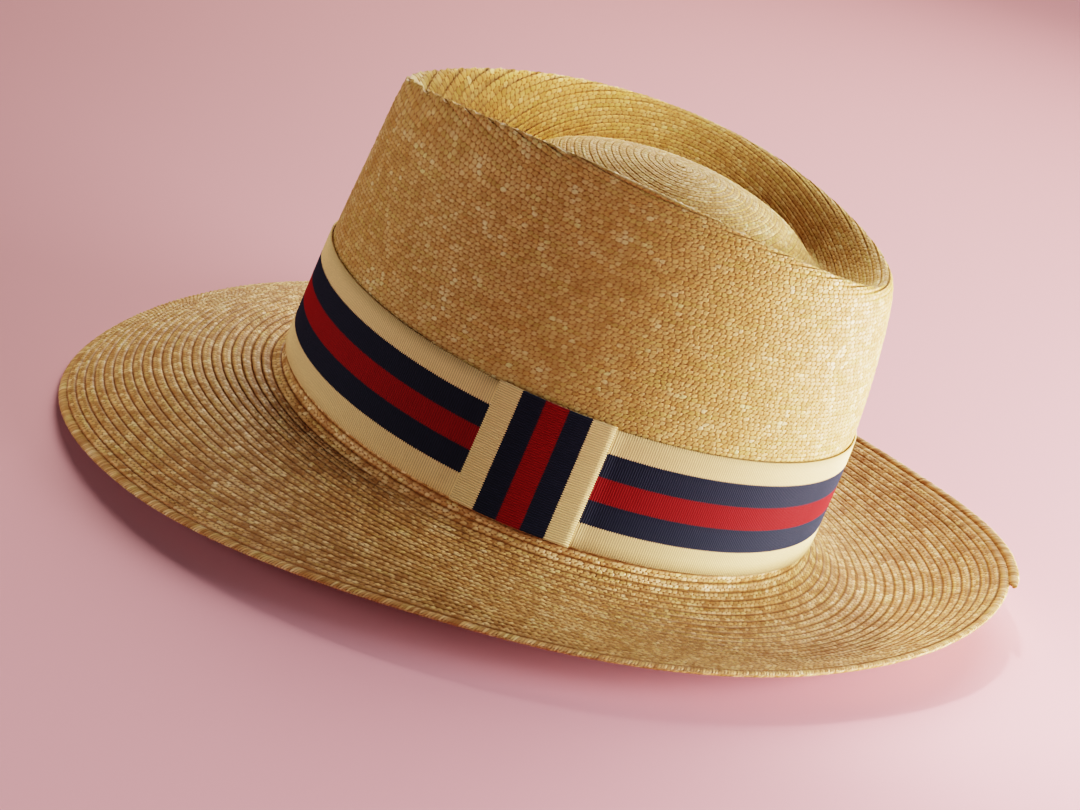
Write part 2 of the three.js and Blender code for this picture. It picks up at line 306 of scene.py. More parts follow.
# %% [markdown]
# ## A length of flat plait
# Up close a row is a narrow plait: two lines of short strands, half a stitch apart, that all slant
# one way, with a groove between. Its outer lip laps over the next row, and its inner edge is tucked
# under the row before. All of it could be left to the material, but then rows would have no lips
# and strands no crests to catch the light. So a grid primitive makes a flat strip, seven lines
# round and two columns to a stitch. The columns slant with the strands, so few faces still give
# every strand a crest. The strip is then wound on the form and closed into a band.

# %% Section of the plait
# across the row in rows from its middle, height above the form, slant along the row in stitches,
# relief of the strands, where in a stitch they stand highest, and place across in the UV map
PLAIT = {
    "tucked_top": (-0.75, -0.00070, -0.20, 0.00000, 0.0, -0.25),
    "first_line": (-0.25, -0.00004, 0.00, 0.00027, 0.0, 0.25),
    "middle": (0.00, -0.00006, 0.10, 0.00000, 0.0, 0.50),
    "second_line": (0.25, 0.00000, 0.20, 0.00029, 0.5, 0.75),
    "lip": (0.50, -0.00016, 0.30, 0.00008, 0.5, 1.00),
    "lip_under": (0.44, -0.00090, 0.30, 0.00000, 0.0, 1.30),
    "tucked_under": (-0.60, -0.00175, 0.00, 0.00000, 0.0, 2.30),
}
PLAIT_CLOSED_V = 2.65  # place of tucked_top again, after the strip has gone round
LAPPED_LINES = [list(PLAIT).index(name) for name in ("tucked_top", "lip")]
FULLNESS = (0.6, 1.3)  # of a strand, from the thinnest to the fullest
SPARE_STITCHES = 8
dice = np.random.default_rng(5)
UNEVEN = dice.uniform(*FULLNESS, (2, int(STITCHES[-1]) + SPARE_STITCHES))  # for each line's strands
print("plait:", len(PLAIT), "lines round, strands of", UNEVEN.min().round(2), "to", UNEVEN.max().round(2))

# %% Make a flat strip


def flat_strip(name, columns, lines):
    """A grid primitive, with the column and the line of each of its points."""
    bpy.ops.mesh.primitive_grid_add(x_subdivisions=columns, y_subdivisions=lines, size=1)
    strip = bpy.context.object
    strip.name = name
    strip.data.name = name
    flat = np.empty(len(strip.data.vertices) * 3, np.float32)
    strip.data.vertices.foreach_get("co", flat)
    flat = flat.reshape(-1, 3)
    column = np.rint((flat[:, 0] + 0.5) * columns).astype(int)
    line = np.rint((flat[:, 1] + 0.5) * lines).astype(int)
    return strip, column, line


def shape_strip(strip, points, u, v):
    """Moves a strip's points to their place and writes its UV map."""
    mesh = strip.data
    mesh.vertices.foreach_set("co", np.ascontiguousarray(points, np.float32).ravel())
    corner = np.empty(len(mesh.loops), np.int32)
    mesh.loops.foreach_get("vertex_index", corner)
    mesh.uv_layers[0].name = "lay"
    mesh.uv_layers[0].data.foreach_set("uv", np.stack([u, v], 1)[corner].astype(np.float32).ravel())
    mesh.update()


# %% Close a strip
MERGE_DISTANCE = 1e-6


def merge_touching():
    """Goes into edit mode and joins points of the strip that lie on each other."""
    bpy.ops.object.mode_set(mode="EDIT")
    bpy.ops.mesh.select_all(action="SELECT")
    bpy.ops.mesh.remove_doubles(threshold=MERGE_DISTANCE)


def put_down(piece):
    """Deselects a finished piece and says how large its mesh is."""
    bpy.ops.object.select_all(action="DESELECT")
    piece.data.calc_loop_triangles()
    print(piece.name + ":", len(piece.data.loop_triangles), "triangles")


def close_strip(strip, end_sides, smooth_to):
    """Joins a strip's touching sides, closes its ends, turns its faces outwards and smooths it."""
    merge_touching()
    bpy.ops.mesh.select_all(action="SELECT")
    bpy.ops.mesh.fill_holes(sides=end_sides)
    bpy.ops.mesh.select_all(action="SELECT")
    bpy.ops.mesh.normals_make_consistent(inside=False)
    bpy.ops.object.mode_set(mode="OBJECT")
    bpy.ops.object.shade_smooth_by_angle(angle=math.radians(smooth_to))
    put_down(strip)


# %% Wind a length
COARSE_ROWS = (87, 92)  # the strands get coarser over the last rows of the brim
COARSER = 0.45
RIDGE_LAP = 1.2  # rows lap more openly where they bend over the crown's ridge
RIDGE_ROWS = 1.8
INNERMOST = 0.02  # rows from the tip, which no point of the braid passes
ROUND_LIPS = 180  # degrees up to which two faces are shaded as one
SHARP_LIPS = 50


def wind_plait(name, turns, lap, front_lap=0.0, per_stitch=2, relief_share=1.0, smooth_to=ROUND_LIPS):
    """A length of the plait, from one turn of the winding to another, with deep or shallow laps."""
    begin, end = np.interp(turns, TURNS, STITCHES)
    phases = np.arange(math.floor(begin * per_stitch), math.floor(end * per_stitch) + 1) / per_stitch
    strip, column, line = flat_strip(name, len(phases) - 1, len(PLAIT))
    table = np.array([*PLAIT.values()])
    across, height, slant, relief, crest, v = table[line % len(PLAIT)].T
    v[line == len(PLAIT)] = PLAIT_CLOSED_V
    phase = phases[column]
    turn = np.interp(phase + slant, STITCHES, TURNS)
    angle = wound(turn)
    ridge = np.interp(np.mod(angle, 2 * math.pi), ANGLES, RIDGE_ROW, period=2 * math.pi)
    open_lap = lap + RIDGE_LAP * np.exp(-((turn - ridge) / RIDGE_ROWS) ** 2)
    open_lap = open_lap + front_lap * (0.5 - 0.5 * np.sin(angle))
    height = np.where(np.isin(line % len(PLAIT), LAPPED_LINES), height * open_lap, height)
    strand = np.floor(phase - crest + 0.5).astype(int)
    beat = 0.5 + 0.5 * np.cos(2 * math.pi * (phase - crest))
    beat *= UNEVEN[(crest > 0).astype(int), strand]
    outmost = (turn - COARSE_ROWS[0]) / (COARSE_ROWS[1] - COARSE_ROWS[0])
    coarse = 1 + COARSER * smooth_step(np.clip(outmost, 0, 1))
    lift = height + relief * beat * coarse * relief_share
    points = on_straw(angle, np.maximum(turn + across, INNERMOST), lift)
    shape_strip(strip, points, phase, v)
    close_strip(strip, len(PLAIT), smooth_to)
    return strip


# %% [markdown]
# ## Winding the crown and the brim
# The whole braid is too long for one mesh that stays easy to handle, so it is wound in lengths,
# and each length starts where the one before ends. Rows are pressed close on the crown, with sharp
# lips on its wall and shoulder. They open where they bend over the ridge, and in front, where the
# brim droops, and they lie close behind, where it rolls up. Rows that the ribbon covers only show
# from inside the hat, so they are wound with fewer columns and no strands.

# %% Wind the lengths
# first turn, last turn, and how far edges are smoothed
CROWN_LENGTHS = {
    "crown_top_plait": (FIRST_TURN, 29, ROUND_LIPS),
    "crown_shoulder_plait": (29, 42.5, SHARP_LIPS),
    "crown_wall_plait": (42.5, 56, SHARP_LIPS),
}
CROWN_LAP = 0.20
CROWN_RELIEF = 0.75
BAND_LENGTH = (56, 69)
BAND_LAP = 1.0
EDGE_START = 92.75  # the turn where the last row gets thicker, on the wearer's right
BRIM_LENGTHS = {
    "brim_inner_plait": (69, 80),
    "brim_middle_plait": (80, 88),
    "brim_outer_plait": (88, EDGE_START),
}
BRIM_LAP = 0.5
BRIM_FRONT_LAP = 1.4
crown_plaits = []
for name, (*turns, smooth_to) in CROWN_LENGTHS.items():
    plait = wind_plait(name, turns, CROWN_LAP, relief_share=CROWN_RELIEF, smooth_to=smooth_to)
    crown_plaits.append(plait)
crown_plaits.append(wind_plait("crown_band_plait", BAND_LENGTH, BAND_LAP, per_stitch=1, relief_share=0))
brim_plaits = []
for name, turns in BRIM_LENGTHS.items():
    brim_plaits.append(wind_plait(name, turns, BRIM_LAP, front_lap=BRIM_FRONT_LAP))

# %% [markdown]
# ## The rope row at the edge
# The last turn and a quarter is thicker and rounder than the other rows, like a rope of slanting
# strands. It starts on the wearer's right, drawn in a little under the row before, and ends in a
# tail at the back, where the edge steps in by one row. A curve with a round bevel would have no
# strands, so the rope is wound as the plait is, but round an oval section. Each line of the strip
# starts a part of a stitch later, and after a full round the strip meets itself two stitches
# further on, so its columns run with the strands.

# %% Wind the edge
ROPE_ADVANCE = 2  # stitches that a strand runs on while it goes round once
ROPE_BEATS = 2  # strands in a stitch's length
ROPE_LINES = 10
ROPE_PER_STITCH = 4  # columns
ROPE_MIDDLE = -0.00105  # height
ROPE_HALF_THICKNESS = 0.00098
ROPE_HALF_WIDTH = 0.64  # rows
ROPE_TUCK = 0.08  # rows that it is drawn in under the row before
ROPE_RELIEF = 0.16  # share of the half thickness
ROPE_FIRST_V = 0.5  # place across in the UV map, where the section starts
TAIL_LENGTH = 2.5  # stitches over which the tail is drawn to a point and turns out
TAIL_POINT = 0.45  # share of the rope's thickness that is left at its end
TAIL_OUT = 0.25  # rows


def wind_rope(name, first, last):
    """The rope from one turn of the winding to another, closed at its start and at its tail."""
    begin, end = np.interp([first, last], TURNS, STITCHES)
    first_column = math.floor((begin - ROPE_ADVANCE) * ROPE_PER_STITCH)
    phases = np.arange(first_column, math.ceil(end * ROPE_PER_STITCH) + 1) / ROPE_PER_STITCH
    rope, column, line = flat_strip(name, len(phases) - 1, ROPE_LINES)
    share = line / ROPE_LINES
    phase = phases[column]
    along = np.clip(phase + ROPE_ADVANCE * share, begin, end)
    turn = np.interp(along, STITCHES, TURNS)
    strand = np.floor(ROPE_BEATS * phase + 0.5).astype(int) % UNEVEN.shape[1]
    beat = (0.5 + 0.5 * np.cos(2 * math.pi * ROPE_BEATS * phase)) * UNEVEN[0, strand]
    tail = smooth_step(np.clip((along - end) / TAIL_LENGTH + 1, 0, 1))
    swell = (1 - ROPE_RELIEF + ROPE_RELIEF * beat) * (1 - (1 - TAIL_POINT) * tail)
    swell[along == begin] = 1 - ROPE_RELIEF
    swell[along == end] = TAIL_POINT
    round_it = -2 * math.pi * share
    across = TAIL_OUT * tail - ROPE_TUCK + ROPE_HALF_WIDTH * swell * np.cos(round_it)
    height = ROPE_MIDDLE + ROPE_HALF_THICKNESS * swell * np.sin(round_it)
    points = on_straw(wound(turn), turn + across, height)
    shape_strip(rope, points, ROPE_BEATS * phase, ROPE_FIRST_V + share)
    close_strip(rope, 2 * ROPE_LINES, ROUND_LIPS)
    return rope


edge_rope = wind_rope("edge_rope", EDGE_START, ALL_ROWS)

# %% [markdown]
# ## The grosgrain ribbon
# Grosgrain is woven with a thick weft, so it has fine ribs straight across and a small scallop at
# each rib's end. Bump in a material could draw the ribs, but not the scalloped edges. So a grid
# strip gets two columns to a rib, is laid round the wall of the crown at an even height up the
# straw, and Solidify gives it its thickness. Its ends meet under the keeper.

# %% The wall by its height
RIBBON_FOOT = 0.0016  # length up the straw
RIBBON_WIDTH = 0.040
RIBBON_THICKNESS = 0.0006
RIBBON_FACE = 0.0010  # outer face above the straw
WALL_TOP = 0.05
WALL_STEP = 0.0005
WALL_GRID = np.arange(0, WALL_TOP, WALL_STEP)
WALL = at_rest(read_curves(WALL_GRID, CROWN_RUN, CROWN))
WALL_NORMALS = -outward(WALL)


def on_wall(angle, up, height):
    return above(WALL, WALL_NORMALS, angle, up / WALL_STEP, height)


band_middle = np.full(DIRECTIONS, RIBBON_FOOT + RIBBON_WIDTH / 2)
band_path = on_wall(ANGLES, band_middle, np.full(DIRECTIONS, RIBBON_FACE))
BAND_ROUND = np.linalg.norm(np.roll(band_path, -1, 0) - band_path, axis=1).sum()
print("ribbon:", round(BAND_ROUND, 4), "round")

# %% Lay the ribbon
RIB = 0.00075
RIB_RELIEF = 0.00007
SCALLOP = 0.00016
BAND_LINES = 10
BAND_PER_RIB = 2
KEEPER_ANGLE = math.radians(12.1)  # half the keeper's width, as a direction round the wall
KEEPER_BULGE = 0.0005  # the band rises a little along the keeper's sides
BULGE_WIDTH = 0.12  # share of the keeper's angle


def rib_wave(ribs):
    """1 on the crest of a rib and -1 between two."""
    return np.cos(2 * math.pi * ribs)


def long_edges(line, lines):
    """-1 on a strip's first line, 1 on its last and 0 between."""
    return np.where(line == 0, -1, np.where(line == lines, 1, 0))


def thicken(piece, thickness):
    solid = piece.modifiers.new("Thickness", "SOLIDIFY")
    solid.thickness = thickness
    solid.offset = -1
    solid.use_even_offset = False
    bpy.context.view_layer.objects.active = piece
    bpy.ops.object.modifier_apply(modifier=solid.name)


def close_sheet(sheet):
    """Joins a sheet's ends where they meet and smooths it; its outer side is the grid's upper side."""
    merge_touching()
    bpy.ops.object.mode_set(mode="OBJECT")
    thicken(sheet, RIBBON_THICKNESS)
    bpy.ops.object.shade_smooth()
    put_down(sheet)


def lay_band():
    columns = BAND_PER_RIB * round(BAND_ROUND / RIB)
    band, column, line = flat_strip("striped_band", columns, BAND_LINES)
    angle = 2 * math.pi * column / columns
    ribs = column / BAND_PER_RIB
    share = line / BAND_LINES
    up = RIBBON_FOOT + RIBBON_WIDTH * share + long_edges(line, BAND_LINES) * SCALLOP * rib_wave(ribs)
    from_keeper = np.abs(np.mod(angle + math.pi, 2 * math.pi) - math.pi) / KEEPER_ANGLE
    bulge = np.exp(-((from_keeper - 1) / BULGE_WIDTH) ** 2)
    height = RIBBON_FACE + RIB_RELIEF * rib_wave(ribs) + KEEPER_BULGE * bulge
    shape_strip(band, on_wall(angle, up, height), ribs, share)
    close_sheet(band)
    return band


striped_band = lay_band()

# %% [markdown]
# ## The keeper
# A short piece of the same ribbon stands upright over the band's join. Its stripes run up the hat
# and its ribs lie level. Both ends turn in over the band's edges. A flat piece with its ends cut
# off would look like a sticker, so the strip follows a path with a small quarter turn at each end.
# The path also gives the length that the ribbon is cut to.

# %% Fold the keeper over the band
KEEPER_FACE = 0.0022  # outer face above the straw
KEEPER_FOLD = 0.0006  # radius of the turn at each end
KEEPER_TUCK = 0.0012  # straight part behind each fold
KEEPER_OVER = 0.0008  # it reaches past the band's upper edge
KEEPER_UNDER = 0.0006  # and past its lower edge
KEEPER_TOP = RIBBON_FOOT + RIBBON_WIDTH + KEEPER_OVER
KEEPER_BOTTOM = RIBBON_FOOT - KEEPER_UNDER
KEEPER_TURN = KEEPER_FOLD * math.pi / 2  # length of the turn
KEEPER_RUN = KEEPER_TOP - KEEPER_BOTTOM - 2 * KEEPER_FOLD  # straight part between the folds
KEEPER_LENGTH = 2 * KEEPER_TUCK + 2 * KEEPER_TURN + KEEPER_RUN
KEEPER_LINES = 20
KEEPER_PER_RIB = 4
SIDE_RADIUS = sum(CROWN_SECTIONS["opening"][1:3]) / 2  # length round the wall's side for an angle of 1


def keeper_path(along):
    """Height up the wall and height above it, at a length from the foot's tucked end."""
    bend_1 = np.clip((along - KEEPER_TUCK) / KEEPER_TURN, 0, 1) * math.pi / 2
    straight = np.clip(along - KEEPER_TUCK - KEEPER_TURN, 0, KEEPER_RUN)
    bend_2 = np.clip((along - KEEPER_TUCK - KEEPER_TURN - KEEPER_RUN) / KEEPER_TURN, 0, 1) * math.pi / 2
    before = np.maximum(KEEPER_TUCK - along, 0)
    after = np.maximum(along - KEEPER_TUCK - 2 * KEEPER_TURN - KEEPER_RUN, 0)
    up = KEEPER_BOTTOM + KEEPER_FOLD * (1 - np.cos(bend_1) + np.sin(bend_2)) + straight
    height = KEEPER_FACE + KEEPER_FOLD * (np.sin(bend_1) + np.cos(bend_2) - 2)
    return up, height - before - after


def fold_keeper():
    columns = KEEPER_PER_RIB * round(KEEPER_LENGTH / RIB)
    keeper, column, line = flat_strip("striped_keeper", columns, KEEPER_LINES)
    up, height = keeper_path(KEEPER_LENGTH * column / columns)
    ribs = column / KEEPER_PER_RIB
    share = line / KEEPER_LINES
    scallop = long_edges(line, KEEPER_LINES) * rib_wave(ribs) * SCALLOP / SIDE_RADIUS
    angle = KEEPER_ANGLE * (2 * share - 1) + scallop
    shape_strip(keeper, on_wall(-angle, up, height + RIB_RELIEF * rib_wave(ribs)), ribs, share)
    close_sheet(keeper)
    return keeper


striped_keeper = fold_keeper()

# %% [markdown]
# ## Straw
# Split straw is smooth and a little shiny. Each strand has its own tone, from brown to nearly
# cream, and the palest strands, bunched in paler patches, are partly painted glints. The gaps
# between strands, lines and rows are painted dark: partly the straw's own darker colour, partly
# painted shade in the grooves and in the pits where four strands meet. Noise alone would look like
# cork. But the strip's UV map counts stitches along and lines across, so a few rounding nodes find
# the strand that a point belongs to, and give it a tone by chance. Slower noise adds stretches of
# greener or redder straw along a row. There are two finishes: the crown's strands are more even in
# tone, and the brim's vary more, with deeper painted shade between its rows. The crown's straw is
# also tinted and painted a little darker, as painted shade, and the brim's tinted and painted a
# little lighter, as painted light.

# %% Add nodes


def new_finish(name):
    """A material with only its shader and output, and the tree that they are in."""
    finish = bpy.data.materials.new(name)
    finish.use_nodes = True
    tree = finish.node_tree
    return finish, tree, tree.nodes["Principled BSDF"]


def node(tree, kind, inputs=(), **settings):
    """Adds a node, sets it, and fills its inputs with values or with links from other sockets."""
    made = tree.nodes.new("ShaderNode" + kind)
    for key, value in settings.items():
        setattr(made, key, value)
    for key, value in dict(inputs).items():
        if isinstance(value, bpy.types.NodeSocket):
            tree.links.new(value, made.inputs[key])
        else:
            made.inputs[key].default_value = value
    return made


# %% Arithmetic in nodes


def sums(tree, operation, a, b=0.0):
    """One step of arithmetic."""
    return node(tree, "Math", {0: a, 1: b}, operation=operation).outputs[0]


def times(tree, a, b):
    return sums(tree, "MULTIPLY", a, b)


def plus(tree, a, b):
    return sums(tree, "ADD", a, b)


def minus(tree, a, b):
    return sums(tree, "SUBTRACT", a, b)


def ease(tree, value, low, high, to_low=0.0, to_high=1.0):
    """A smooth step of a value between two limits."""
    inputs = {"Value": value, "From Min": low, "From Max": high, "To Min": to_low, "To Max": to_high}
    return node(tree, "MapRange", inputs, interpolation_type="SMOOTHSTEP").outputs["Result"]


# %% Colours in nodes


def ramp(tree, value, stops, interpolation="LINEAR"):
    """A colour ramp with stops of (place, colour)."""
    made = node(tree, "ValToRGB", {"Fac": value})
    made.color_ramp.interpolation = interpolation
    elements = made.color_ramp.elements
    while len(elements) < len(stops):
        elements.new(0.5)
    for element, (place, colour) in zip(elements, stops):
        element.position = place
        element.color = (*colour, 1)
    return made.outputs["Color"]


def blend(tree, factor, a, b, kind="MIX"):
    """Mixes two colours."""
    made = node(tree, "Mix", {"Factor": factor}, data_type="RGBA", blend_type=kind)
    for socket, value in ((made.inputs[6], a), (made.inputs[7], b)):
        if isinstance(value, bpy.types.NodeSocket):
            tree.links.new(value, socket)
        else:
            socket.default_value = (*value, 1)
    return made.outputs[2]


# %% Follow a strip


def laid_place(tree):
    """The two ways of a strip's own UV map: along it and across it."""
    place = node(tree, "SeparateXYZ", {0: node(tree, "UVMap", uv_map="lay").outputs["UV"]})
    return place.outputs[0], place.outputs[1]


def laid_noise(tree, along, across, detail):
    """Noise that follows a strip, one step for each 1 along and across."""
    place = node(tree, "CombineXYZ", {0: along, 1: across}).outputs[0]
    inputs = {"Vector": place, "Scale": 1.0, "Detail": detail}
    return node(tree, "TexNoise", inputs, noise_dimensions="2D").outputs


def add_bump(tree, shader, height, strength, depth):
    bump = node(tree, "Bump", {"Strength": strength, "Distance": depth, "Height": height})
    tree.links.new(bump.outputs["Normal"], shader.inputs["Normal"])


# %% Find the strand
LINES_IN_ROW = 2.0
WANDER_RATE = 0.8  # steps of noise in a stitch
NOISE_RANGE = (0.2, 0.8)  # where nearly all of the noise lies
LINE_WANDER = (-0.10, 0.10)  # lines
STRAND_WANDER = (-0.16, 0.16)  # stitches


def straw_strands(tree):
    """Which strand and line a point is on, and how far it is off the middle of each."""
    stitches, across = laid_place(tree)
    lines = times(tree, across, LINES_IN_ROW)
    wander = laid_noise(tree, times(tree, stitches, WANDER_RATE), lines, detail=1.0)["Color"]
    along_wander, across_wander, _ = node(tree, "SeparateColor", {0: wander}).outputs
    lines = plus(tree, lines, ease(tree, across_wander, *NOISE_RANGE, *LINE_WANDER))
    line = sums(tree, "FLOOR", lines)
    half_stitch = times(tree, sums(tree, "FLOORED_MODULO", line, LINES_IN_ROW), 0.5)
    along = plus(tree, stitches, half_stitch)
    along = plus(tree, along, ease(tree, along_wander, *NOISE_RANGE, *STRAND_WANDER))
    strand = sums(tree, "FLOOR", plus(tree, along, 0.5))
    return {
        "stitches": stitches,
        "lines": lines,
        "strand": strand,
        "line": line,
        "off_strand": sums(tree, "ABSOLUTE", minus(tree, along, strand)),
        "off_line": sums(tree, "ABSOLUTE", minus(tree, minus(tree, lines, line), 0.5)),
        "from_row_edge": sums(tree, "PINGPONG", lines, 1.0),
    }


# %% Darken the gaps, partly with painted shade
BORDER = 0.5  # of a strand or a line, from its middle
STRAND_SIDE = 0.25  # where a strand's side starts to darken, from its middle
LINE_SIDE = 0.32
PIT_ON_STRAND = 0.15  # where the painted shade in the pits between four strands starts
PIT_ON_LINE = 0.10


def straw_gaps(tree, at, weave):
    """Painted darkness of a gap, its colour and shade: 0 on a strand's middle, up to 1 between strands.
    """
    off_strand, off_line = at["off_strand"], at["off_line"]
    pit_shade = ease(tree, off_strand, PIT_ON_STRAND, BORDER, 0.0, weave["pit_shade"])
    pit_shade = times(tree, pit_shade, ease(tree, off_line, PIT_ON_LINE, BORDER))
    strand_gap = ease(tree, off_strand, STRAND_SIDE, BORDER, 0.0, weave["strand_gap"])
    line_gap = ease(tree, off_line, LINE_SIDE, BORDER, 0.0, weave["line_gap"])
    row_gap = ease(tree, at["from_row_edge"], 0.0, weave["row_groove"], weave["row_gap"], 0.0)
    seam = sums(tree, "MAXIMUM", sums(tree, "MAXIMUM", strand_gap, line_gap), row_gap)
    return sums(tree, "MINIMUM", plus(tree, pit_shade, seam), 1.0)


# %% Colour the strands
# the colour painted into the gaps: partly the straw's darker colour, partly painted shade
GAP_AND_SHADE_TONE = (0.300, 0.132, 0.035)
STRAW_TINTS = (
    (0.30, (0.950, 1.010, 0.850)),
    (0.50, (1.000, 1.000, 1.000)),
    (0.70, (1.020, 0.970, 0.860)),
)
CHANCE_SHARE = 0.8  # how much of a strand's tone is its own
PATCH_SCALE = 130.0  # patches of paler straw and painted glints, a few millimetres wide
PATCH_RANGE = (0.35, 0.7)
PATCH_SHIFT = (-0.08, 0.30)
STRETCH_RATE = 0.13  # steps of slow noise in a stitch
LINES_APART = 37.7  # in the slow noise, so that neighbouring lines change by themselves


def straw_colour(tree, at, lot, gap_shade, tones, shade):
    """A tone for each strand by its lot, tinted along the row, and darkened in the gaps, partly with
    painted shade.
    """
    here = node(tree, "TexCoord").outputs["Object"]
    patch = node(tree, "TexNoise", {"Vector": here, "Scale": PATCH_SCALE, "Detail": 2.0}).outputs["Fac"]
    paler_and_glinting = ease(tree, patch, *PATCH_RANGE, *PATCH_SHIFT)
    tone = ramp(tree, plus(tree, times(tree, lot, CHANCE_SHARE), paler_and_glinting), tones)
    slow = plus(tree, times(tree, at["stitches"], STRETCH_RATE), times(tree, at["line"], LINES_APART))
    stretch = node(tree, "TexNoise", {"W": slow, "Scale": 1.0, "Detail": 1.0}, noise_dimensions="1D")
    # the tints carry each finish's tint and its painted shade or painted light
    tints = [(place, np.multiply(colour, shade)) for place, colour in STRAW_TINTS]
    tint = ramp(tree, stretch.outputs["Fac"], tints)
    return blend(tree, gap_shade, blend(tree, 1.0, tone, tint, "MULTIPLY"), GAP_AND_SHADE_TONE)


# %% The two straws, the crown's painted darker and the brim's lighter
# tones by lot, from the darkest strands to the palest, which are partly painted glints
CROWN_TONES = (
    (0.00, (0.490, 0.255, 0.078)),
    (0.35, (0.570, 0.312, 0.103)),
    (0.70, (0.635, 0.365, 0.135)),
    (0.92, (0.700, 0.432, 0.180)),
    (1.00, (0.760, 0.530, 0.255)),
)
BRIM_TONES = (
    (0.00, (0.390, 0.182, 0.052)),
    (0.30, (0.510, 0.268, 0.088)),
    (0.60, (0.650, 0.375, 0.145)),
    (0.85, (0.770, 0.490, 0.215)),
    (1.00, (0.810, 0.560, 0.275)),
)
# the crown's straw tinted and painted darker, as painted shade, and the brim's tinted bluer and painted
# lighter, as painted light
CROWN_TINT_AND_PAINTED_SHADE = (0.850, 0.925, 0.970)
BRIM_TINT_AND_PAINTED_LIGHT = (1.04, 1.04, 1.16)
# how dark the gaps between strands, lines and rows and the pits are painted, partly as painted shade in
# grooves and pits, and how wide a row's groove is
CROWN_WEAVE = {"strand_gap": 0.44, "line_gap": 0.16, "row_gap": 0.20, "row_groove": 0.30, "pit_shade": 0.70}
BRIM_WEAVE = {"strand_gap": 0.58, "line_gap": 0.10, "row_gap": 0.66, "row_groove": 0.55, "pit_shade": 0.75}
CROWN_GLOSS = 0.2
BRIM_GLOSS = 0.35
STRAW_ROUGHNESS = (0.60, 0.40)  # from the dullest strand to the shiniest
FIBRES_ALONG = 9.0  # steps of fine noise in a stitch
FIBRES_ACROSS = 2.0  # and in a line
FIBRE_HEIGHT = 0.25  # share of a gap's depth
STRAW_BUMP = (0.6, 0.0005)  # strength, and depth of a gap


def straw_finish(name, tones, shade, weave, gloss):
    finish, tree, shader = new_finish(name)
    at = straw_strands(tree)
    gap_shade = straw_gaps(tree, at, weave)
    which = node(tree, "CombineXYZ", {0: at["strand"], 1: at["line"]}).outputs[0]
    lot = node(tree, "TexWhiteNoise", {"Vector": which}, noise_dimensions="2D").outputs["Value"]
    tree.links.new(straw_colour(tree, at, lot, gap_shade, tones, shade), shader.inputs["Base Color"])
    tree.links.new(ease(tree, lot, 0.0, 1.0, *STRAW_ROUGHNESS), shader.inputs["Roughness"])
    fibre_along = times(tree, at["stitches"], FIBRES_ALONG)
    fibre_across = times(tree, at["lines"], FIBRES_ACROSS)
    fibre = laid_noise(tree, fibre_along, fibre_across, detail=2.0)["Fac"]
    add_bump(tree, shader, minus(tree, times(tree, fibre, FIBRE_HEIGHT), gap_shade), *STRAW_BUMP)
    shader.inputs["Specular IOR Level"].default_value = gloss
    return finish


crown_straw = straw_finish("crown_straw", CROWN_TONES, CROWN_TINT_AND_PAINTED_SHADE, CROWN_WEAVE, CROWN_GLOSS)
brim_straw = straw_finish("brim_straw", BRIM_TONES, BRIM_TINT_AND_PAINTED_LIGHT, BRIM_WEAVE, BRIM_GLOSS)
for plait in crown_plaits:
    plait.data.materials.append(crown_straw)
for plait in (*brim_plaits, edge_rope):
    plait.data.materials.append(brim_straw)
print("straw:", len(brim_straw.node_tree.nodes), "nodes in each finish")

# %% [markdown]
# ## Woven stripes
# The ribbon's stripes are dyed warp threads, so a stripe's border follows the ribs and is finely
# toothed. Each stripe could be a material of its own, but a border between faces is a plain line.
# So one colour ramp runs across the ribbon in its UV map, which counts ribs the other way. Yarn
# noise and painted shade in the grooves between the ribs keep the flat colours from looking printed.

# %% The ribbon's finish
CREAM = (0.780, 0.545, 0.265)
NAVY = (0.017, 0.019, 0.036)
RED = (0.260, 0.004, 0.004)
STRIPES = ((0.0, CREAM), (0.2, NAVY), (0.4, RED), (0.6, NAVY), (0.8, CREAM))
STRIPE_TOOTH = 0.005  # share of the ribbon's width
YARNS_IN_RIB = 3.0
YARNS_ACROSS = 160.0
YARN_RANGE = (0.3, 0.7)
YARN_SHADES = (0.86, 1.08)
RIB_RANGE = (-1.0, 0.4)  # of the wave, from the groove, where the painted shade is deepest, up to where a rib has none
RIB_SHADES = (0.64, 1.0)
YARN_HEIGHT = 0.8  # against the wave's
RIBBON_BUMP = (0.35, 0.00015)  # strength and depth


def ribbon_finish(name):
    finish, tree, shader = new_finish(name)
    ribs, across = laid_place(tree)
    wave = sums(tree, "COSINE", times(tree, ribs, 2 * math.pi))
    side = sums(tree, "SIGN", minus(tree, across, 0.5))
    tooth = times(tree, times(tree, wave, STRIPE_TOOTH), side)
    stripes = ramp(tree, plus(tree, across, tooth), STRIPES, "CONSTANT")
    yarn_along = times(tree, ribs, YARNS_IN_RIB)
    yarn_across = times(tree, across, YARNS_ACROSS)
    yarn = laid_noise(tree, yarn_along, yarn_across, detail=2.0)["Fac"]
    # painted shade in the grooves between the ribs, times the yarn's own tone
    rib_shade = ease(tree, wave, *RIB_RANGE, *RIB_SHADES)
    shade = times(tree, rib_shade, ease(tree, yarn, *YARN_RANGE, *YARN_SHADES))
    grey = node(tree, "CombineColor", {0: shade, 1: shade, 2: shade}).outputs[0]
    tree.links.new(blend(tree, 1.0, stripes, grey, "MULTIPLY"), shader.inputs["Base Color"])
    add_bump(tree, shader, plus(tree, wave, times(tree, yarn, YARN_HEIGHT)), *RIBBON_BUMP)
    shader.inputs["Roughness"].default_value = 0.72
    shader.inputs["Sheen Weight"].default_value = 0.05
    shader.inputs["Sheen Roughness"].default_value = 0.4
    shader.inputs["Specular IOR Level"].default_value = 0.15
    return finish


